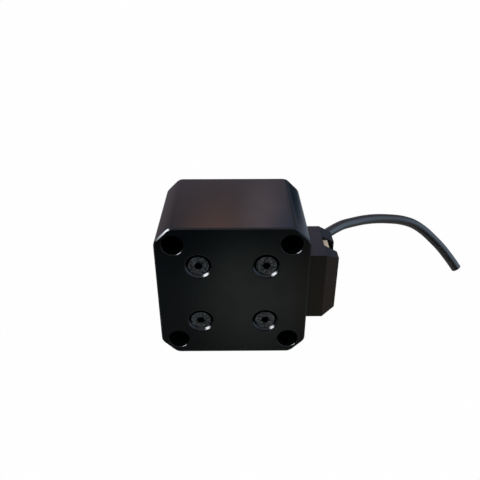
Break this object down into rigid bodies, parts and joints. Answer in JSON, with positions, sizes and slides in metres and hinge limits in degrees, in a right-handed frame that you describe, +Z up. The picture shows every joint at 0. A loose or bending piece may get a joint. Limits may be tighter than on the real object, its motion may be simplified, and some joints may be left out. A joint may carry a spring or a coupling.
{
  "type": "stepper motor",
  "caption": "Small square stepper motor in a black machined case, with a flatted shaft, locating boss, tapped corner holes, bevelled connector hood and short cable.",
  "frame": {"origin": "on the motor axis, in the plane of the front mounting face", "axes": "+Y along the shaft, out of the front face; +X out through the connector hood; +Z up as the motor lies on its flat side"},
  "size_m": [0.1022, 0.056, 0.0408],
  "materials": {
    "case_black": "black anodised, satin",
    "screw_black": "black oxide",
    "plain_aluminium": "machined",
    "bearing_steel": "ground",
    "ball_steel": "polished",
    "shaft_steel": "ground, fine lengthwise grain",
    "lamination": "stacked sheet edges, oiled",
    "magnet_dark": "nickel plated",
    "spacer_brass": "turned",
    "copper_wire": "enamelled copper wire",
    "bobbin_plastic": "moulded",
    "circuit_board": "fibreglass board, solder mask",
    "connector_cream": "moulded",
    "contact_metal": "plated",
    "lead_dark": "smooth insulation",
    "hood_black": "satin moulded",
    "cable_black": "matte jacket"
  },
  "bodies": {
    "case": {"housing": "case_black", "front_flange": "case_black", "tie_screws": "screw_black", "cover_screws": "screw_black", "rear_carrier": "plain_aluminium", "wave_washer": "bearing_steel", "stator_core": "lamination", "front_bobbin": "bobbin_plastic", "rear_bobbin": "bobbin_plastic", "coils": "copper_wire", "terminal_board": "circuit_board", "front_outer_ring": "bearing_steel", "front_shields": "bearing_steel", "rear_outer_ring": "bearing_steel", "rear_shields": "bearing_steel", "connector_header": "connector_cream", "connector_pins": "contact_metal", "connector_plug": "connector_cream", "plug_contacts": "contact_metal", "plug_leads": "lead_dark", "connector_hood": "hood_black", "grommet": "cable_black", "cable_tail": "cable_black", "cable": "cable_black"},
    "rotor": {"shaft": "shaft_steel", "rotor_cup_front": "lamination", "rotor_magnet": "magnet_dark", "rotor_cup_rear": "lamination", "front_spacer": "spacer_brass", "rear_spacer": "spacer_brass", "front_inner_ring": "bearing_steel", "rear_inner_ring": "bearing_steel"},
    "front_ball_set": {"front_balls": "ball_steel", "front_cage": "bearing_steel"},
    "rear_ball_set": {"rear_balls": "ball_steel", "rear_cage": "bearing_steel"}
  },
  "joints": [
    {"name": "rotor_spin", "type": "hinge", "parent": "case", "child": "rotor", "pos_m": [0, 0, 0], "axis": [0, 1, 0], "continuous": true},
    {"name": "front_cage_spin", "type": "hinge", "parent": "case", "child": "front_ball_set", "pos_m": [0, 0, 0], "axis": [0, 1, 0], "continuous": true},
    {"name": "rear_cage_spin", "type": "hinge", "parent": "case", "child": "rear_ball_set", "pos_m": [0, 0, 0], "axis": [0, 1, 0], "continuous": true}
  ],
  "couplings": [
    {"joint": "front_cage_spin", "follows": "rotor_spin", "ratio": 0.3677},
    {"joint": "rear_cage_spin", "follows": "rotor_spin", "ratio": 0.3677}
  ]
}
